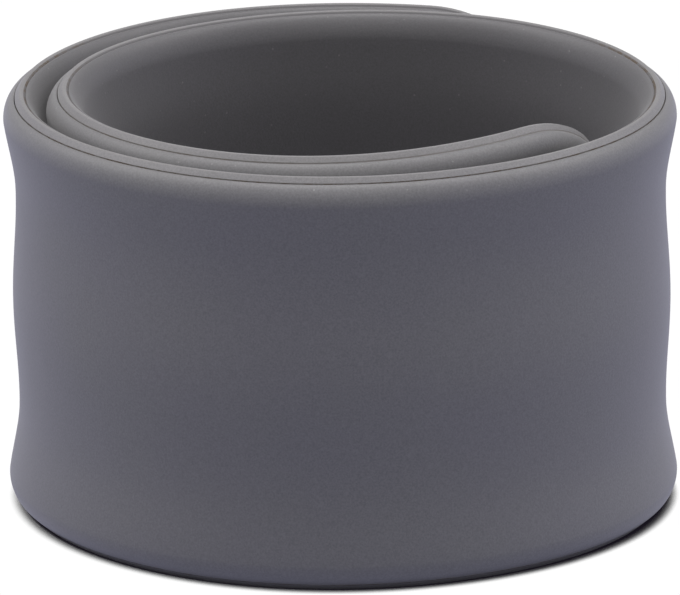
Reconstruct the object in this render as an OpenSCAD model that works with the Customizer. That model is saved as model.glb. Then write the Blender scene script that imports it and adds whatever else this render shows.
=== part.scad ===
// Snap-on wristband: a silicone strip of three layers, coiled almost twice round
// the wrist's hollow and resting on its lower edge.
// Angles run anticlockwise as seen from above, from the outer free end to the
// inner one: 0 is the right, 90 the back, 180 the left and 270 the front.

/* [Strip] */
// Length of the strip along the middle of its thickness
strip_length = 242; // [200:1:244]
// Width of the strip, which stands upright here
strip_width = 30; // [26:1:36]
// Thickness through all three layers
strip_thickness = 2.6; // [2.2:0.1:2.6]
// Radius of the strip's four rounded corners
corner_radius = 11.5; // [6:0.5:13]

/* [Layers] */
// Offset of the outer seam from the middle of the thickness
outer_seam = 0.35; // [0.25:0.05:0.5]
// Depth of the outer seam below the crest of the core
outer_seam_drop = 0.38; // [0.2:0.02:0.5]
// Depth at which the outer skin's rounded shoulder meets its wall
outer_shoulder = 2; // [1:0.1:2.5]
// Offset of the inner seam from the middle of the thickness
inner_seam = 0.45; // [0.35:0.05:0.6]
// Depth of the inner seam below the crest of the core
inner_seam_drop = 0.14; // [0.1:0.02:0.4]
// Depth at which the inner skin's rounded shoulder meets its wall
inner_shoulder = 1.9; // [1:0.1:2.5]
// Shape of both shoulders, from 1 for an ellipse to 2 for a straight bevel
shoulder_power = 1.2; // [1:0.1:2]
// Width of the flat along the core's crest
crest_width = 0.25; // [0.1:0.05:0.3]
// Clear gap between two layers at a seam
seam_gap = 0.05; // [0.02:0.01:0.1]

/* [Hollows] */
// Depth of the two shallow channels that run along the strip
channel_depth = 0.33; // [0:0.01:0.35]
// Outward flare of the strip's two edges at the left and right
side_flare = 0.6; // [0:0.05:0.6]
// Outward flare of the strip's two edges at the front and back
front_flare = 0.1; // [0:0.05:0.6]
// Distance from the edge at which the flare begins
flare_start = 7; // [5:0.5:9]
// Distance from the edge at which the flare is complete
flare_end = 0.25; // [0.25:0.25:3]

/* [Coil] */
// Height by which the inner turn stands above the outer one
turn_lift = 0.48; // [0:0.02:0.6]
// Angle at which the strip begins to rise
lift_start = 330; // [300:5:340]
// Angle at which the inner turn has its full height
lift_end = 425; // [400:5:450]

/* [Hidden] */

// Control points of the coil's middle line, one every tenth of a turn. The line
// is the smooth curve that they pull on, from the second to the last but one.
ANGLE = 0;
RADIUS = 1;
COIL = [
    // angle, radius
    [9, 25.05],
    [45, 22.9],
    [81, 22.65],
    [117, 23.15],
    [153, 22.65],
    [189, 22.55],
    [225, 22.2],
    [261, 22.45],
    [297, 21.75],
    [333, 22.15],
    [369, 21.85],
    [405, 20.3],
    [441, 19.25],
    [477, 18.75],
    [513, 19.15],
    [549, 19.65],
    [585, 19.4],
    [621, 19.25],
    [657, 17.05],
    [693, 16.85],
    [729, 20.75],
    [765, 23.4],
];
coil_step = COIL[1][ANGLE] - COIL[0][ANGLE];
coil_start = COIL[1][ANGLE];
coil_end = COIL[len(COIL) - 2][ANGLE];
last_span = len(COIL) - 4;

// Rows of points along the strip: some round each corner, the rest evenly spaced
corner_rows = 6;
middle_rows = 72;
rows = middle_rows + 2 * corner_rows + 1;
// Places of the points across the strip, as shares of its half width
ACROSS = [-1, -0.77, -0.5, 0, 0.5, 0.77, 1];
columns = len(ACROSS);
// Steps in each rounded shoulder, and the angle between two sums of the length
shoulder_steps = 4;
sum_step = 2;

// Weights of four neighbouring control points, x of the way along their span
function weights(x) =
    [pow(1 - x, 3), 3 * pow(x, 3) - 6 * x * x + 4, -3 * pow(x, 3) + 3 * x * x + 3 * x + 1, pow(x, 3)] / 6;
function weight_slopes(x) =
    [-pow(1 - x, 2), 3 * x * x - 4 * x, -3 * x * x + 2 * x + 1, x * x] / 2;

function span(a) = min(floor((a - coil_start) / coil_step), last_span);
function spanned(k) = [for (j = [0 : 3]) COIL[k + j][RADIUS]];

// Radius of the coil's middle line at an angle, and its growth per radian
function radius(a) = weights((a - coil_start) / coil_step - span(a)) * spanned(span(a));
function growth(a) =
    weight_slopes((a - coil_start) / coil_step - span(a)) * spanned(span(a)) / coil_step * 180 / PI;

// Length along the coil against angle, as pairs for lookup()
LENGTHS = [
    for (
        a = coil_start, s = 0;
        a <= coil_end;
        s = s + norm([radius(a + sum_step / 2), growth(a + sum_step / 2)]) * sum_step * PI / 180,
        a = a + sum_step
    ) [s, a]
];

function ease(x) = let (c = max(0, min(1, x))) c * c * (3 - 2 * c);
function lift(a) = turn_lift * ease((a - lift_start) / (lift_end - lift_start));

// Outward flare of the edges at an angle
function flare(a) = front_flare + (side_flare - front_flare) * pow(cos(a), 2);

// Outward shift of the strip at a height w from its middle and an angle a: two
// channels, at a quarter and three quarters of the width, and flared edges
function bow(w, a) =
    flare(a) * ease((abs(w) - strip_width / 2 + flare_start) / (flare_start - flare_end))
    - channel_depth / 2 * (1 - cos(720 * w / strip_width));

// Point of the coiled strip: s along it, w across it from its middle, and t
// outward from the middle of its thickness
function place(s, w, t) =
    let (
        a = lookup(s, LENGTHS),
        r = radius(a),
        g = growth(a),
        out = [r * cos(a) + g * sin(a), r * sin(a) - g * cos(a)] / norm([r, g]),
        flat = r * [cos(a), sin(a)] + (t + bow(w, a)) * out
    )
    [flat.x, flat.y, strip_width / 2 + w + lift(a)];

// Outline of the strip drawn in by d: place of a row along it, and its half width
function inset_along(k, d) = corner_radius - (corner_radius - d) * cos(90 * k / corner_rows);
function along(i, d) =
    i <= corner_rows ? inset_along(i, d)
    : i >= rows - 1 - corner_rows ? strip_length - inset_along(rows - 1 - i, d)
    : corner_radius + (strip_length - 2 * corner_radius) * (i - corner_rows) / middle_rows;
function half_width(i, d) =
    strip_width / 2 - corner_radius
    + (corner_radius - d) * sin(90 * min(i, rows - 1 - i, corner_rows) / corner_rows);

function spot(i, j, t, d) = place(along(i, d), half_width(i, d) * ACROSS[j], t);

// Row and column of each point round the rim, anticlockwise from outside
RIM = concat(
    [for (i = [0 : rows - 1]) [i, 0]],
    [for (j = [1 : columns - 1]) [rows - 1, j]],
    [for (i = [rows - 2 : -1 : 0]) [i, columns - 1]],
    [for (j = [columns - 2 : -1 : 1]) [0, j]]
);
sheet_size = rows * columns;

// A layer's edge is a list of [t, d] steps, from its outer face to its inner one.
// Its first and last step are whole sheets, and those between are rims.
function sheet_points(step) =
    [for (i = [0 : rows - 1], j = [0 : columns - 1]) spot(i, j, step[0], step[1])];
function rim_points(step) = [for (p = RIM) spot(p[0], p[1], step[0], step[1])];
function layer_points(edge) =
    concat(
        sheet_points(edge[0]),
        sheet_points(edge[len(edge) - 1]),
        [for (k = [1 : len(edge) - 2]) each rim_points(edge[k])]
    );

function sheet_id(sheet, i, j) = sheet * sheet_size + i * columns + j;
function rim_id(edge, k, q) =
    let (p = RIM[q % len(RIM)])
    k == 0 ? sheet_id(0, p[0], p[1])
    : k == len(edge) - 1 ? sheet_id(1, p[0], p[1])
    : 2 * sheet_size + (k - 1) * len(RIM) + q % len(RIM);

function halves(a, b, c, d) = [[a, b, c], [a, c, d]];
function layer_faces(edge) =
    concat(
        [
            for (i = [0 : rows - 2], j = [0 : columns - 2])
            each halves(
                sheet_id(0, i, j), sheet_id(0, i, j + 1), sheet_id(0, i + 1, j + 1), sheet_id(0, i + 1, j)
            )
        ],
        [
            for (i = [0 : rows - 2], j = [0 : columns - 2])
            each halves(
                sheet_id(1, i, j), sheet_id(1, i + 1, j), sheet_id(1, i + 1, j + 1), sheet_id(1, i, j + 1)
            )
        ],
        [
            for (k = [0 : len(edge) - 2], q = [0 : len(RIM) - 1])
            each halves(
                rim_id(edge, k, q), rim_id(edge, k, q + 1), rim_id(edge, k + 1, q + 1), rim_id(edge, k + 1, q)
            )
        ]
    );

// Rounded shoulder between a seam and a wall, as steps from the wall to the seam
function shoulder(wall, depth, seam, drop) = [
    for (k = [0 : shoulder_steps])
    let (turn = 90 * k / shoulder_steps)
    [
        seam + (wall - seam) * pow(cos(turn), shoulder_power),
        depth - (depth - drop) * pow(sin(turn), shoulder_power)
    ]
];
function reversed(list) = [for (k = [len(list) - 1 : -1 : 0]) list[k]];

OUTER_EDGE = shoulder(strip_thickness / 2, outer_shoulder, outer_seam + seam_gap / 2, outer_seam_drop);
CORE_EDGE = [
    [outer_seam - seam_gap / 2, outer_seam_drop],
    [0, 0],
    [-crest_width, 0],
    [-inner_seam + seam_gap / 2, inner_seam_drop],
];
INNER_EDGE = reversed(
    shoulder(-strip_thickness / 2, inner_shoulder, -inner_seam - seam_gap / 2, inner_seam_drop)
);

// Middle of the band's outline as seen from above
OUTSIDE = layer_points(OUTER_EDGE);
X = [for (p = OUTSIDE) p.x];
Y = [for (p = OUTSIDE) p.y];
MIDDLE = [min(X) + max(X), min(Y) + max(Y), 0] / 2;

module layer(edge) {
    translate(-MIDDLE)
        polyhedron(points = layer_points(edge), faces = layer_faces(edge), convexity = 6);
}

// Outer layer of silicone, with a rounded shoulder down to the seam
module outer_skin() {
    color("#5d5e65") layer(OUTER_EDGE);
}

// Middle layer, whose crest shows as a lip all round and meets the surface below
module core_layer() {
    color("#8b8a88") layer(CORE_EDGE);
}

// Inner layer of silicone, against the wrist
module inner_skin() {
    color("#55565a") layer(INNER_EDGE);
}

outer_skin();
core_layer();
inner_skin();
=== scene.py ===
"""Looks of a silicone slap wristband, coiled round its wrist hollow and resting on its lower edge.

Lengths are in millimetres until they are placed, apart from those of the floor and the lights,
which are in metres. Angles run anticlockwise as seen from above: 0 is the right, 90 the back and
270 the front.
"""

import logging
import math
from dataclasses import dataclass, field
from enum import Enum

import bpy
import numpy as np
from mathutils import Matrix, Vector

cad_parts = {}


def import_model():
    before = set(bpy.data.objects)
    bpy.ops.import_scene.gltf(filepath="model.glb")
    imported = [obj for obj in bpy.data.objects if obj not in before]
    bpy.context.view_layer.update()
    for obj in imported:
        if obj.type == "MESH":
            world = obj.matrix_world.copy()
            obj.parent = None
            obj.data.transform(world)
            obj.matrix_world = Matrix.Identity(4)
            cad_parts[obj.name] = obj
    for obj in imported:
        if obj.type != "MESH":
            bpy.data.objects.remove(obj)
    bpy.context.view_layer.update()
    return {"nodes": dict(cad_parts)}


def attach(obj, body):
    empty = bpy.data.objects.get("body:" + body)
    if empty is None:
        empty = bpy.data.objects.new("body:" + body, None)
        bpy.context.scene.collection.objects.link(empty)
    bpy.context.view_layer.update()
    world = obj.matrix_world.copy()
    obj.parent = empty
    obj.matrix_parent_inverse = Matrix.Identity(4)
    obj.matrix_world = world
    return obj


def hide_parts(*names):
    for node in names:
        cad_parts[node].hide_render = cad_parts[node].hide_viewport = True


log = logging.getLogger("wristband")
MM = 0.001
BODY = "root"
PHOTO_SIZE = (680, 595)


def linear(hex_colour: str) -> tuple[float, float, float, float]:
    """Turn an sRGB hex colour into linear light.

    Args:
        hex_colour: Six hex digits after a hash sign.

    Returns:
        Red, green and blue as linear values, and an alpha of 1.
    """
    parts = [int(hex_colour[i : i + 2], 16) / 255 for i in (1, 3, 5)]
    red, green, blue = (v / 12.92 if v <= 0.04045 else ((v + 0.055) / 1.055) ** 2.4 for v in parts)
    return red, green, blue, 1.0


def ease(share: np.ndarray) -> np.ndarray:
    """Return a smooth rise from 0 to 1, flat beyond both ends."""
    held = np.clip(share, 0.0, 1.0)
    return held * held * (3.0 - 2.0 * held)


def add_node(
    tree: bpy.types.NodeTree,
    kind: str,
    settings: dict[str | int, object] | None = None,
    links: dict[str | int, bpy.types.NodeSocket] | None = None,
) -> bpy.types.Node:
    """Add one shader node, set it up and link it.

    Args:
        tree: Node tree that the node goes into.
        kind: Blender's type name of the node.
        settings: Values for the node's properties by name, or for its input sockets by name or number.
        links: Output sockets by the name or number of the input socket that each one feeds.

    Returns:
        The new node.
    """
    node = tree.nodes.new(kind)
    for name, value in (settings or {}).items():
        if isinstance(name, str) and hasattr(node, name):
            setattr(node, name, value)
        else:
            node.inputs[name].default_value = value
    for name, output in (links or {}).items():
        tree.links.new(output, node.inputs[name])
    return node


@dataclass(frozen=True)
class CoiledStrip:
    """The strip's own size and the coil that it is wound into, the same as in the part's source.

    The radii are the control points of the coil's middle line, one every angle_step degrees from
    first_angle. The line is the smooth curve that they pull on, from the second to the last but one.
    """

    length: float = 242.0
    width: float = 30.0
    thickness: float = 2.6
    corner_radius: float = 11.5
    channel_depth: float = 0.33
    side_flare: float = 0.6
    front_flare: float = 0.1
    flare_start: float = 7.0
    flare_end: float = 0.25
    turn_lift: float = 0.48
    lift_start: float = 330.0
    lift_end: float = 425.0
    sum_step: float = 0.25
    first_angle: float = 9.0
    angle_step: float = 36.0
    radii: tuple[float, ...] = (
        25.05, 22.9, 22.65, 23.15, 22.65, 22.55, 22.2, 22.45, 21.75, 22.15, 21.85,
        20.3, 19.25, 18.75, 19.15, 19.65, 19.4, 19.25, 17.05, 16.85, 20.75, 23.4,
    )  # fmt: skip

    @property
    def start(self) -> float:
        """Angle of the outer free end."""
        return self.first_angle + self.angle_step

    def _spanned(self, angles: np.ndarray) -> tuple[np.ndarray, np.ndarray]:
        """Split angles into the share of their span and the four radii that pull on it.

        Args:
            angles: Angles along the coil, in degrees.

        Returns:
            The share of the span, and the radii as an array of four rows.
        """
        steps = (np.asarray(angles, float) - self.start) / self.angle_step
        spans = np.clip(np.floor(steps).astype(int), 0, len(self.radii) - 4)
        held = np.asarray(self.radii)
        return steps - spans, np.stack([held[spans + k] for k in range(4)])

    def radius(self, angles: np.ndarray) -> np.ndarray:
        """Work out the radius of the strip's middle line.

        Args:
            angles: Angles along the coil, in degrees.

        Returns:
            The radius at each angle.
        """
        x, held = self._spanned(angles)
        weights = np.stack([(1 - x) ** 3, 3 * x**3 - 6 * x**2 + 4, -3 * x**3 + 3 * x**2 + 3 * x + 1, x**3])
        return (weights * held).sum(0) / 6

    def growth(self, angles: np.ndarray) -> np.ndarray:
        """Work out how fast the radius grows.

        Args:
            angles: Angles along the coil, in degrees.

        Returns:
            The growth per radian at each angle.
        """
        x, held = self._spanned(angles)
        slopes = np.stack([-((1 - x) ** 2), 3 * x**2 - 4 * x, -3 * x**2 + 2 * x + 1, x**2])
        return (slopes * held).sum(0) / 2 / math.radians(self.angle_step)

    def angle_at(self, along: np.ndarray) -> np.ndarray:
        """Turn distances along the strip into angles, by summing the coil's length.

        Args:
            along: Distances from the outer free end.

        Returns:
            The angle at each distance.
        """
        end = self.first_angle + self.angle_step * (len(self.radii) - 2)
        angles = np.arange(self.start, end, self.sum_step)
        middle = angles + self.sum_step / 2
        pieces = np.hypot(self.radius(middle), self.growth(middle)) * math.radians(self.sum_step)
        lengths = np.concatenate([[0.0], np.cumsum(pieces)[:-1]])
        return np.interp(along, lengths, angles)

    def lift(self, angles: np.ndarray) -> np.ndarray:
        """Return how far the strip stands above the surface at each angle."""
        return self.turn_lift * ease((angles - self.lift_start) / (self.lift_end - self.lift_start))

    def flare(self, angles: np.ndarray) -> np.ndarray:
        """Return the outward flare of both edges at each angle, widest at the left and right."""
        return self.front_flare + (self.side_flare - self.front_flare) * np.cos(np.radians(angles)) ** 2

    def bow(self, heights: np.ndarray, angles: np.ndarray) -> np.ndarray:
        """Work out the strip's outward shift: two channels and the flared edges.

        Args:
            heights: Heights from the strip's middle.
            angles: Angle at each height.

        Returns:
            The shift at each height.
        """
        into_flare = np.abs(heights) - self.width / 2 + self.flare_start
        flared = self.flare(angles) * ease(into_flare / (self.flare_start - self.flare_end))
        return flared - self.channel_depth / 2 * (1 - np.cos(4 * math.pi * heights / self.width))

    def place(self, along: np.ndarray, across: np.ndarray, out: np.ndarray) -> np.ndarray:
        """Place points of the flat strip on the coil.

        Args:
            along: Distances along the strip.
            across: Heights from the strip's middle.
            out: Outward offsets from the middle of the thickness.

        Returns:
            One row of x, y and z for each point.
        """
        angles = self.angle_at(along)
        radius, growth = self.radius(angles), self.growth(angles)
        turn = np.radians(angles)
        slant = np.hypot(radius, growth)
        out_x = (radius * np.cos(turn) + growth * np.sin(turn)) / slant
        out_y = (radius * np.sin(turn) - growth * np.cos(turn)) / slant
        reach = out + self.bow(across, angles)
        x = radius * np.cos(turn) + reach * out_x
        y = radius * np.sin(turn) + reach * out_y
        return np.stack([x, y, self.width / 2 + across + self.lift(angles)], axis=-1)


class Seam(Enum):
    """Seam that a step of an edge lies in, by the number of its residue among a layer's materials."""

    NONE = 0
    OUTER = 1
    INNER = 2


@dataclass(frozen=True)
class EdgeStep:
    """One step of a layer's edge: offset from the middle of the thickness, and depth below the crest."""

    out: float
    depth: float
    seam: Seam = Seam.NONE


def shoulder(
    wall: float, depth: float, seam: float, drop: float, power: float, steps: int
) -> list[EdgeStep]:
    """Round the edge of a skin between its wall and its seam.

    Args:
        wall: Offset of the wall from the middle of the thickness.
        depth: Depth at which the rounding meets the wall.
        seam: Offset at which the rounding ends.
        drop: Depth at which the rounding ends.
        power: Shape of the rounding, from 1 for an ellipse to 2 for a straight bevel.
        steps: Number of steps in the rounding.

    Returns:
        Steps from the wall to the seam.
    """
    turns = [math.pi / 2 * k / steps for k in range(steps + 1)]
    shares = [(abs(math.cos(a)) ** power, math.sin(a) ** power) for a in turns]
    return [EdgeStep(seam + (wall - seam) * out, depth - (depth - drop) * rise) for out, rise in shares]


@dataclass(frozen=True)
class MouldedSilicone:
    """Silicone rubber, compression moulded: matt and slightly dusty, so its edges look pale.

    wall_dust and edge_dust are the share of a speck's own colour that shows, on the walls and
    where the rubber faces up.
    """

    name: str
    base: str
    cloud: str
    dust: str = "#9b9a98"
    wall_dust: float = 0.0
    edge_dust: float = 0.22
    ior: float = 1.45
    specular: float = 0.69
    roughness: float = 0.58
    roughness_drift: float = 0.06
    sheen: float = 0.12
    cloud_mm: float = 9.0
    grain_mm: float = 0.14
    grain_depth: float = 0.2
    grain_height_mm: float = 0.012
    dust_spacing_mm: float = 0.8
    dusted_cells: float = 0.3

    def material(self) -> bpy.types.Material:
        """Build the material.

        Returns:
            A material with a cloudy colour, fine grain and sparse specks of dust.
        """
        made = bpy.data.materials.new(self.name)
        made.use_nodes = True
        tree = made.node_tree
        tree.nodes.clear()
        place = add_node(tree, "ShaderNodeTexCoord").outputs["Object"]
        # Pigment that mixed unevenly gives the eye a faint drift between two greys.
        clouds = add_node(
            tree,
            "ShaderNodeTexNoise",
            {"Scale": 1 / (self.cloud_mm * MM), "Detail": 3.0, "Roughness": 0.5},
            {"Vector": place},
        )
        tone = add_node(
            tree,
            "ShaderNodeMix",
            {"data_type": "RGBA", 6: linear(self.base), 7: linear(self.cloud)},
            {0: clouds.outputs["Fac"]},
        )
        # The mould's blasted steel leaves a grain that breaks up the highlights. The real one is
        # too fine to show, so it is drawn two or three times as coarse.
        grain = add_node(
            tree,
            "ShaderNodeTexNoise",
            {"Scale": 1 / (self.grain_mm * MM), "Detail": 2.0, "Roughness": 0.6},
            {"Vector": place},
        )
        grain_share = add_node(
            tree,
            "ShaderNodeMapRange",
            {
                "From Min": 0.3,
                "From Max": 0.7,
                "To Min": 1 - self.grain_depth,
                "To Max": 1 + self.grain_depth,
            },
            {"Value": grain.outputs["Fac"]},
        )
        grained = add_node(
            tree,
            "ShaderNodeVectorMath",
            {"operation": "SCALE"},
            {0: tone.outputs[2], 3: grain_share.outputs[0]},
        )
        # Lint and dust settle on silicone as single pale specks, most of them where it faces up.
        cells = add_node(
            tree,
            "ShaderNodeTexVoronoi",
            {"Scale": 1 / (self.dust_spacing_mm * MM), "Randomness": 1.0},
            {"Vector": place},
        )
        near = add_node(
            tree,
            "ShaderNodeMapRange",
            {"From Min": 0.03, "From Max": 0.12, "To Min": 1.0, "To Max": 0.0},
            {"Value": cells.outputs["Distance"]},
        )
        chosen = add_node(tree, "ShaderNodeSeparateColor", {}, {"Color": cells.outputs["Color"]})
        some = add_node(
            tree,
            "ShaderNodeMath",
            {"operation": "GREATER_THAN", 1: 1 - self.dusted_cells},
            {0: chosen.outputs["Red"]},
        )
        specks = add_node(
            tree, "ShaderNodeMath", {"operation": "MULTIPLY"}, {0: near.outputs[0], 1: some.outputs[0]}
        )
        normal = add_node(tree, "ShaderNodeNewGeometry").outputs["Normal"]
        facing = add_node(tree, "ShaderNodeSeparateXYZ", {}, {0: normal})
        settled = add_node(
            tree,
            "ShaderNodeMapRange",
            {"From Min": 0.1, "From Max": 0.6, "To Min": self.wall_dust, "To Max": self.edge_dust},
            {"Value": facing.outputs["Z"]},
        )
        dusted = add_node(
            tree, "ShaderNodeMath", {"operation": "MULTIPLY"}, {0: specks.outputs[0], 1: settled.outputs[0]}
        )
        colour = add_node(
            tree,
            "ShaderNodeMix",
            {"data_type": "RGBA", 7: linear(self.dust)},
            {0: dusted.outputs[0], 6: grained.outputs[0]},
        )
        bump = add_node(
            tree,
            "ShaderNodeBump",
            {"Strength": 0.5, "Distance": self.grain_height_mm * MM},
            {"Height": grain.outputs["Fac"]},
        )
        gloss = add_node(
            tree,
            "ShaderNodeMapRange",
            {
                "To Min": self.roughness - self.roughness_drift,
                "To Max": self.roughness + self.roughness_drift,
            },
            {"Value": clouds.outputs["Fac"]},
        )
        skin = add_node(
            tree,
            "ShaderNodeBsdfPrincipled",
            {"IOR": self.ior, "Specular IOR Level": self.specular, "Sheen Weight": self.sheen},
            {"Base Color": colour.outputs[2], "Roughness": gloss.outputs[0], "Normal": bump.outputs[0]},
        )
        add_node(tree, "ShaderNodeOutputMaterial", {}, {"Surface": skin.outputs[0]})
        return made


@dataclass(frozen=True)
class SeamResidue:
    """Mould residue and dirt in a seam: a thin brown line that fades into the grey here and there.

    Within the first of its two distances from the band's middle it is drawn in a plain colour, and from the
    second outward in full. Both are measured along the axes that have a 1 in measured.
    """

    name: str
    base: str = "#3f362c"
    pale: str = "#504e4b"
    middle_tone: str = "#7a7876"
    patch_mm: float = 0.8
    measured: tuple[float, float, float] = (1.0, 1.0, 0.0)
    pale_within_mm: float = 17.6
    full_from_mm: float = 21.0
    ior: float = 1.45
    roughness: float = 0.85

    def material(self) -> bpy.types.Material:
        """Build the material.

        Returns:
            A dull brown material whose tone changes along the seam.
        """
        made = bpy.data.materials.new(self.name)
        made.use_nodes = True
        tree = made.node_tree
        tree.nodes.clear()
        place = add_node(tree, "ShaderNodeTexCoord").outputs["Object"]
        # Residue that dried in patches gives the eye a line that comes and goes.
        patches = add_node(
            tree,
            "ShaderNodeTexNoise",
            {"Scale": 1 / (self.patch_mm * MM), "Detail": 5.0, "Roughness": 0.65},
            {"Vector": place},
        )
        faded = add_node(
            tree,
            "ShaderNodeMapRange",
            {"From Min": 0.43, "From Max": 0.57},
            {"Value": patches.outputs["Fac"]},
        )
        # The line is drawn paler towards the band's middle.
        aside = add_node(
            tree, "ShaderNodeVectorMath", {"operation": "MULTIPLY", 1: self.measured}, {0: place}
        )
        away = add_node(tree, "ShaderNodeVectorMath", {"operation": "LENGTH"}, {0: aside.outputs[0]})
        middle_share = add_node(
            tree,
            "ShaderNodeMapRange",
            {"From Min": self.pale_within_mm * MM, "From Max": self.full_from_mm * MM, "To Min": 1.0, "To Max": 0.0},
            {"Value": away.outputs["Value"]},
        )
        patchy = add_node(
            tree,
            "ShaderNodeMix",
            {"data_type": "RGBA", 6: linear(self.base), 7: linear(self.pale)},
            {0: faded.outputs[0]},
        )
        tone = add_node(
            tree,
            "ShaderNodeMix",
            {"data_type": "RGBA", 7: linear(self.middle_tone)},
            {0: middle_share.outputs[0], 6: patchy.outputs[2]},
        )
        dirt = add_node(
            tree,
            "ShaderNodeBsdfPrincipled",
            {"Roughness": self.roughness, "IOR": self.ior},
            {"Base Color": tone.outputs[2]},
        )
        add_node(tree, "ShaderNodeOutputMaterial", {}, {"Surface": dirt.outputs[0]})
        return made


@dataclass
class StripLayer:
    """One moulded layer of the strip, whose mesh follows the coil."""

    node: str
    strip: CoiledStrip
    edge: list[EdgeStep]
    finish: bpy.types.Material
    residues: list[bpy.types.Material]
    corner_rows: int = 24
    middle_rows: int = 432
    columns: int = 41

    @property
    def name(self) -> str:
        """Name of the layer's mesh and object."""
        return f"{self.node}_silicone"

    @property
    def slot(self) -> str:
        """Material slot of the layer's CAD node."""
        return f"{self.node.split('_')[0]}_silicone"

    @property
    def rows(self) -> int:
        """Number of rows of points along the strip."""
        return self.middle_rows + 2 * self.corner_rows + 1

    def along(self, depth: float) -> np.ndarray:
        """Place the rows along the strip, on its outline drawn in by a depth.

        Args:
            depth: How far inside the strip's outline the rows end.

        Returns:
            The distance of each row from the outer free end.
        """
        radius = self.strip.corner_radius
        turn = np.linspace(0, math.pi / 2, self.corner_rows + 1)
        start = radius - (radius - depth) * np.cos(turn)
        middle = np.linspace(radius, self.strip.length - radius, self.middle_rows + 1)[1:-1]
        return np.concatenate([start, middle, (self.strip.length - start)[::-1]])

    def half_widths(self, depth: float) -> np.ndarray:
        """Work out how wide the rows are, on the strip's outline drawn in by a depth.

        Args:
            depth: How far inside the strip's outline the rows end.

        Returns:
            The half width of each row.
        """
        radius = self.strip.corner_radius
        turn = np.linspace(0, math.pi / 2, self.corner_rows + 1)
        start = self.strip.width / 2 - radius + (radius - depth) * np.sin(turn)
        middle = np.full(self.middle_rows - 1, self.strip.width / 2 - depth)
        return np.concatenate([start, middle, start[::-1]])

    def sheet(self, step: EdgeStep) -> np.ndarray:
        """Place a whole sheet of points at one step of the edge.

        Args:
            step: Step whose offset and depth the sheet has.

        Returns:
            Points by row, column and axis.
        """
        shares = np.linspace(-1, 1, self.columns)
        across = self.half_widths(step.depth)[:, None] * shares[None, :]
        along = np.broadcast_to(self.along(step.depth)[:, None], across.shape)
        return self.strip.place(along, across, np.full(across.shape, step.out))

    def rim_ids(self) -> np.ndarray:
        """Return the sheet's index of each point round the rim, anticlockwise from outside."""
        ids = np.arange(self.rows * self.columns).reshape(self.rows, self.columns)
        return np.concatenate([ids[:, 0], ids[-1, 1:], ids[-2::-1, -1], ids[0, -2:0:-1]])

    def points(self) -> np.ndarray:
        """Place all the layer's points.

        Returns:
            The points of the first sheet, the last one and the rims between, by row and axis.
        """
        rim = self.rim_ids()
        sheets = [self.sheet(self.edge[k]).reshape(-1, 3) for k in (0, -1)]
        rims = [self.sheet(step).reshape(-1, 3)[rim] for step in self.edge[1:-1]]
        return np.concatenate(sheets + rims)

    def faces(self) -> tuple[np.ndarray, np.ndarray]:
        """Join the points.

        Returns:
            The four corners of each face, and the number of its material.
        """
        size, rim = self.rows * self.columns, self.rim_ids()
        ids = np.arange(size).reshape(self.rows, self.columns)
        a, b, c, d = ids[:-1, :-1], ids[1:, :-1], ids[1:, 1:], ids[:-1, 1:]
        outward = np.stack([a, b, c, d], axis=-1).reshape(-1, 4)
        loops = [rim]
        for k in range(len(self.edge) - 2):
            loops.append(2 * size + k * len(rim) + np.arange(len(rim)))
        loops.append(size + rim)
        bands = []
        seams = [np.full(len(outward), self.edge[k].seam.value) for k in (0, -1)]
        for k, (near, far) in enumerate(zip(loops[:-1], loops[1:])):
            bands.append(np.stack([far, np.roll(far, -1), np.roll(near, -1), near], axis=-1))
            seam = max(self.edge[k].seam.value, self.edge[k + 1].seam.value)
            seams.append(np.full(len(rim), seam))
        corners = np.concatenate([outward, outward[:, ::-1] + size, *bands])
        return corners, np.concatenate(seams)

    def build(self, middle: np.ndarray) -> bpy.types.Object:
        """Build the layer's mesh and dress it.

        Args:
            middle: Middle of the band's outline as seen from above, which goes to the origin.

        Returns:
            The layer's object, riding on the body and standing for its CAD node.
        """
        corners, seams = self.faces()
        mesh = bpy.data.meshes.new(self.name)
        mesh.from_pydata(((self.points() - middle) * MM).tolist(), [], corners.tolist())
        for material in [self.finish, *self.residues]:
            mesh.materials.append(material)
        mesh.polygons.foreach_set("material_index", seams.astype(np.int32))
        mesh.shade_smooth()
        mesh.update()
        piece = bpy.data.objects.new(self.name, mesh)
        bpy.context.scene.collection.objects.link(piece)
        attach(piece, BODY)
        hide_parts(self.node)
        log.info("%s: %d faces", self.name, len(corners))
        return piece


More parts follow.
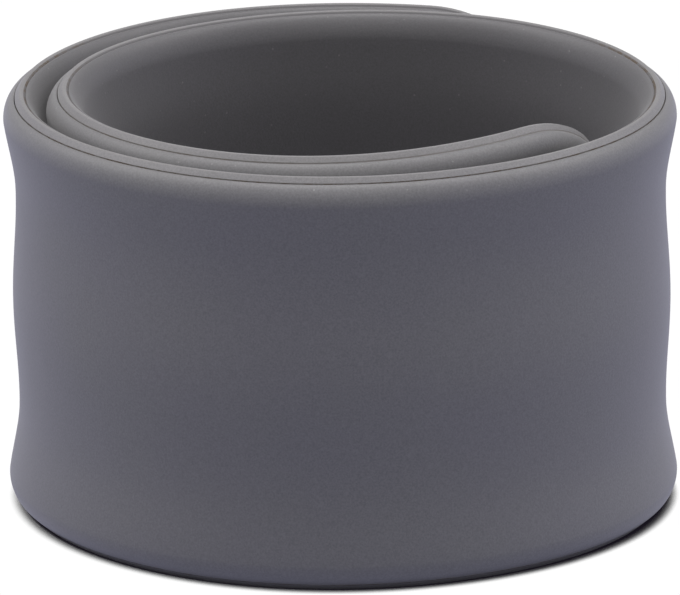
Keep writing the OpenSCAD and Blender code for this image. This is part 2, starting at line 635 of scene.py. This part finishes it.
@dataclass
class SlapBand:
    """The whole band: two skins of silicone with a core layer between them."""

    strip: CoiledStrip = field(default_factory=CoiledStrip)
    outer_seam: float = 0.35
    outer_drop: float = 0.38
    outer_shoulder: float = 2.0
    inner_seam: float = 0.45
    inner_drop: float = 0.14
    inner_shoulder: float = 1.9
    shoulder_power: float = 1.2
    crest_width: float = 0.25
    outer_gap: float = 0.05
    inner_gap: float = 0.015
    groove_depth: float = 0.12
    outer_dirt: float = 0.08
    inner_dirt: float = 0.14
    rim: float = 0.02
    crest_round: float = 0.7
    shoulder_steps: int = 14
    middle: np.ndarray = field(init=False)

    def outer_edge(self) -> list[EdgeStep]:
        """Draw the edge of the outer skin.

        Returns:
            Steps from its wall to its seam.
        """
        seam = self.outer_seam + self.outer_gap / 2
        wall = self.strip.thickness / 2
        drop = self.outer_drop + self.outer_dirt / 2
        rounded = shoulder(
            wall, self.outer_shoulder, seam, drop, self.shoulder_power, self.shoulder_steps
        )
        return rounded + [EdgeStep(seam, drop + self.groove_depth, Seam.OUTER)]

    def inner_edge(self) -> list[EdgeStep]:
        """Draw the edge of the inner skin.

        Returns:
            Steps from its seam to its wall.
        """
        seam = self.inner_seam + self.inner_gap / 2
        wall = self.strip.thickness / 2
        rounded = shoulder(
            -wall, self.inner_shoulder, -seam, self.inner_drop, self.shoulder_power, self.shoulder_steps
        )
        return [EdgeStep(-seam, self.inner_drop + self.groove_depth, Seam.INNER)] + rounded[::-1]

    def core_edge(self) -> list[EdgeStep]:
        """Draw the edge of the core layer.

        Returns:
            Steps from its outer seam over the lip to its inner one.
        """
        outer, inner = self.outer_seam - self.outer_gap / 2, self.inner_seam - self.inner_gap / 2
        foot = self.outer_drop - self.outer_dirt / 2
        slope = foot / outer
        heel = inner - self.inner_dirt
        fall = self.inner_drop / (inner - self.crest_width)
        return [
            EdgeStep(outer, self.outer_drop + self.groove_depth, Seam.OUTER),
            EdgeStep(outer, foot + self.rim / 2),
            EdgeStep(outer - self.rim / 4, foot),
            EdgeStep(outer - self.rim, foot - self.rim * slope),
            EdgeStep(3 * self.rim, 3 * self.rim * slope),
            EdgeStep(self.rim, self.rim * slope * self.crest_round),
            EdgeStep(0.0, 0.0),
            EdgeStep(-self.crest_width, 0.0),
            EdgeStep(-heel, (heel - self.crest_width) * fall),
            EdgeStep(-inner, self.inner_drop, Seam.INNER),
            EdgeStep(-inner, self.inner_drop + self.groove_depth, Seam.INNER),
        ]

    def layers(self) -> list[StripLayer]:
        """Give each layer its edge and its finish.

        Returns:
            The band's three layers, the outer one first.
        """
        dirt = [
            SeamResidue("seam_residue_outer").material(),
            SeamResidue(
                "seam_residue_inner",
                pale="#4a494a",
                middle_tone="#4a494a",
                measured=(1.0, 0.0, 0.0),
                pale_within_mm=17.5,
                full_from_mm=20.5,
            ).material(),
        ]
        skin = MouldedSilicone("moulded_silicone_outer", "#434245", "#454545").material()
        # The core's grey is drawn lighter than the outer skin's: partly its own colour, partly painted
        # light on its up-facing lip.
        core = MouldedSilicone("moulded_silicone_core_grey_and_painted_light", "#49484a", "#4c4b4b").material()
        # The inner skin's grey is drawn darker than the outer skin's: partly its own colour, partly painted
        # shade for the inside of the coil.
        lining_grey_and_painted_shade = MouldedSilicone("moulded_silicone_inner_grey_and_painted_shade", "#313032", "#353437", wall_dust=0.16).material()
        return [
            StripLayer("outer_skin", self.strip, self.outer_edge(), skin, dirt),
            StripLayer("core_layer", self.strip, self.core_edge(), core, dirt),
            StripLayer("inner_skin", self.strip, self.inner_edge(), lining_grey_and_painted_shade, dirt),
        ]

    def build(self) -> list[bpy.types.Object]:
        """Build the three layers round one middle.

        Returns:
            The layers' objects.
        """
        layers = self.layers()
        outline = layers[0].points()[:, :2]
        self.middle = np.append((outline.min(0) + outline.max(0)) / 2, 0.0)
        log.info("middle of the outline: %.3f, %.3f mm", self.middle[0], self.middle[1])
        return [layer.build(self.middle) for layer in layers]


@dataclass
class PhotoCamera:
    """A long lens in front of the band and a little above it, as in the photograph."""

    focal_px: float = 10714.0
    distance: float = 766.6
    elevation: float = 17.0
    roll: float = 0.568
    centre_px: tuple[float, float] = (346.47, 290.46)
    sensor: float = 36.0
    aim_height: float = 15.0
    clip: tuple[float, float] = (50.0, 20000.0)

    def build(self, axis: np.ndarray) -> bpy.types.Object:
        """Make the camera and give it to the scene.

        Args:
            axis: Where the coil's own centre stands, in millimetres.

        Returns:
            The camera's object.
        """
        wide, high = PHOTO_SIZE
        data = bpy.data.cameras.new("photo_camera")
        data.sensor_width = self.sensor
        data.lens = self.focal_px * self.sensor / wide
        data.shift_x = (wide / 2 - self.centre_px[0]) / wide
        data.shift_y = (self.centre_px[1] - high / 2) / wide
        data.clip_start, data.clip_end = (reach * MM for reach in self.clip)
        camera = bpy.data.objects.new("photo_camera", data)
        bpy.context.scene.collection.objects.link(camera)
        tilt = math.radians(self.elevation)
        back = Vector((0.0, -math.cos(tilt), math.sin(tilt)))
        aim = Vector((axis[0] * MM, axis[1] * MM, self.aim_height * MM))
        turn = back.to_track_quat("Z", "Y").to_matrix() @ Matrix.Rotation(-math.radians(self.roll), 3, "Z")
        camera.matrix_world = Matrix.Translation(aim + back * self.distance * MM) @ turn.to_4x4()
        bpy.context.scene.camera = camera
        return camera


class LightPlace(Enum):
    """Where a soft light stands round the band."""

    ABOVE = "above"
    FRONT_ABOVE = "front_above"
    UPPER_LEFT = "upper_left"
    UPPER_RIGHT = "upper_right"
    LOW_LEFT = "low_left"
    LOW_RIGHT = "low_right"


@dataclass(frozen=True)
class SoftLight:
    """One large soft panel of light, with its place and size in metres."""

    place: LightPlace
    at: tuple[float, float, float]
    size: tuple[float, float]
    power: float
    colour: str

    def build(self) -> bpy.types.Object:
        """Make the panel, turned towards the band.

        Returns:
            The panel's object.
        """
        data = bpy.data.lights.new(f"soft_light_{self.place.value}", "AREA")
        data.shape = "RECTANGLE"
        data.size, data.size_y = self.size
        data.energy = self.power
        data.color = linear(self.colour)[:3]
        lamp = bpy.data.objects.new(data.name, data)
        bpy.context.scene.collection.objects.link(lamp)
        lamp.location = self.at
        lamp.rotation_mode = "QUATERNION"
        lamp.rotation_quaternion = Vector(self.at).to_track_quat("Z", "Y")
        return lamp


@dataclass
class WhiteStudio:
    """A white sheet of paper under soft light from above and both sides. Outside the coil it glows, and a
    painted shadow darkens it where the band stands on it.

    Only floor_size is in metres. painted_shadow_reach, hollow_radius and hollow_blend are in millimetres.
    """

    floor_size: float = 6.0
    paper: str = "#ffffff"
    paper_shown: float = 1.02
    bounce: str = "#dcddff"
    bounce_strength: float = 0.93
    shaded_paper: str = "#e4e4e8"
    hollow_radius: float = 21.0
    hollow_blend: float = 0.5
    # Colour of the painted shadow on the glowing paper at the band's foot.
    painted_contact_shadow: str = "#17141c"
    painted_shadow_reach: float = 1.1
    painted_shadow_dark: float = 0.3
    painted_shadow_clear: float = 0.85
    painted_shadow_lean: tuple[float, float, float] = (-0.2, -0.2, 0.96)
    room_strength: float = 0.68
    lights: tuple[SoftLight, ...] = (
        SoftLight(LightPlace.ABOVE, (0.0, 0.05, 0.9), (0.3, 0.3), 5.6, "#fffcfd"),
        SoftLight(LightPlace.FRONT_ABOVE, (0.0, -0.6, 0.65), (0.6, 0.6), 3.0, "#fffcfd"),
        SoftLight(LightPlace.UPPER_LEFT, (-0.6, 0.1, 0.65), (0.5, 0.5), 5.9, "#fffcfd"),
        SoftLight(LightPlace.UPPER_RIGHT, (0.6, 0.1, 0.65), (0.5, 0.5), 5.2, "#fffcfd"),
        SoftLight(LightPlace.LOW_LEFT, (-0.85, 0.0, 0.155), (1.7, 0.31), 0.9, "#dcddff"),
        SoftLight(LightPlace.LOW_RIGHT, (0.85, 0.0, 0.155), (1.7, 0.31), 1.8, "#dcddff"),
    )

    def floor(self) -> bpy.types.Object:
        """Lay the paper floor, which stays white right up to the painted shadow at the band's foot.

        Returns:
            The floor's object, marked as no part of the band.
        """
        half = self.floor_size / 2
        mesh = bpy.data.meshes.new("paper_floor")
        corners = [(-half, -half, 0), (half, -half, 0), (half, half, 0), (-half, half, 0)]
        mesh.from_pydata(corners, [], [(0, 1, 2, 3)])
        mesh.materials.append(self.bright_paper())
        floor = bpy.data.objects.new("paper_floor", mesh)
        bpy.context.scene.collection.objects.link(floor)
        return floor

    def bright_paper(self) -> bpy.types.Material:
        """Build white paper that glows plain white, with a painted shadow where the band all but touches
        it.

        Returns:
            The floor's material.
        """
        made = bpy.data.materials.new("white_paper")
        made.use_nodes = True
        tree = made.node_tree
        tree.nodes.clear()
        # A painted shadow, drawn by ambient occlusion. It is tilted as if the light that fills the gap
        # under the band came from above and the left.
        shadow_lean = add_node(tree, "ShaderNodeCombineXYZ", dict(enumerate(self.painted_shadow_lean)))
        shadow_occlusion = add_node(
            tree,
            "ShaderNodeAmbientOcclusion",
            {"samples": 16, "Distance": self.painted_shadow_reach * MM},
            {"Normal": shadow_lean.outputs[0]},
        )
        unshadowed_share = add_node(
            tree,
            "ShaderNodeMapRange",
            {
                "interpolation_type": "SMOOTHSTEP",
                "From Min": self.painted_shadow_dark,
                "From Max": self.painted_shadow_clear,
            },
            {"Value": shadow_occlusion.outputs["AO"]},
        )
        seen = add_node(tree, "ShaderNodeLightPath").outputs["Is Camera Ray"]
        white = add_node(
            tree,
            "ShaderNodeMix",
            {"data_type": "RGBA", 6: linear(self.bounce), 7: linear(self.paper)},
            {0: seen},
        )
        # Painted shadow: where the occlusion is high, the glow takes on the dark colour.
        tone = add_node(
            tree,
            "ShaderNodeMix",
            {"data_type": "RGBA", 6: linear(self.painted_contact_shadow)},
            {0: unshadowed_share.outputs[0], 7: white.outputs[2]},
        )
        strength = add_node(
            tree,
            "ShaderNodeMapRange",
            {"To Min": self.bounce_strength, "To Max": self.paper_shown},
            {"Value": seen},
        )
        glow = add_node(
            tree, "ShaderNodeEmission", {}, {"Color": tone.outputs[2], "Strength": strength.outputs[0]}
        )
        # Inside the coil the paper is only lit by what falls in from above.
        spot = add_node(tree, "ShaderNodeTexCoord").outputs["Object"]
        far = add_node(tree, "ShaderNodeVectorMath", {"operation": "LENGTH"}, {0: spot}).outputs["Value"]
        outside = add_node(
            tree,
            "ShaderNodeMapRange",
            {
                "From Min": (self.hollow_radius - self.hollow_blend) * MM,
                "From Max": (self.hollow_radius + self.hollow_blend) * MM,
            },
            {"Value": far},
        )
        shaded = add_node(tree, "ShaderNodeBsdfDiffuse", {"Color": linear(self.shaded_paper)})
        surface = add_node(
            tree,
            "ShaderNodeMixShader",
            {},
            {0: outside.outputs[0], 1: shaded.outputs[0], 2: glow.outputs[0]},
        )
        add_node(tree, "ShaderNodeOutputMaterial", {}, {"Surface": surface.outputs[0]})
        return made

    def sky(self) -> None:
        """Surround the band with a dim white room, and show the eye plain white beyond the floor."""
        world = bpy.data.worlds.new("white_room")
        world.use_nodes = True
        tree = world.node_tree
        tree.nodes.clear()
        seen = add_node(tree, "ShaderNodeLightPath").outputs["Is Camera Ray"]
        strength = add_node(
            tree,
            "ShaderNodeMapRange",
            {"To Min": self.room_strength, "To Max": self.paper_shown},
            {"Value": seen},
        )
        room = add_node(
            tree, "ShaderNodeBackground", {"Color": linear(self.paper)}, {"Strength": strength.outputs[0]}
        )
        add_node(tree, "ShaderNodeOutputWorld", {}, {"Surface": room.outputs[0]})
        bpy.context.scene.world = world

    def build(self) -> None:
        """Build the floor, the room and the lights."""
        self.floor()
        self.sky()
        for light in self.lights:
            light.build()
            log.info("soft light %s", light.place.value)
        bpy.context.scene.view_settings.view_transform = "Standard"


def main() -> None:
    """Build the band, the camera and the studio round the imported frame."""
    logging.basicConfig(level=logging.INFO, format="%(name)s: %(message)s")
    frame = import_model()
    log.info("the frame has %d nodes", len(frame["nodes"]))
    band = SlapBand()
    for piece in band.build():
        log.info("piece %s is in place", piece.name)
    PhotoCamera().build(-band.middle)
    WhiteStudio().build()


if __name__ == "__main__":
    main()
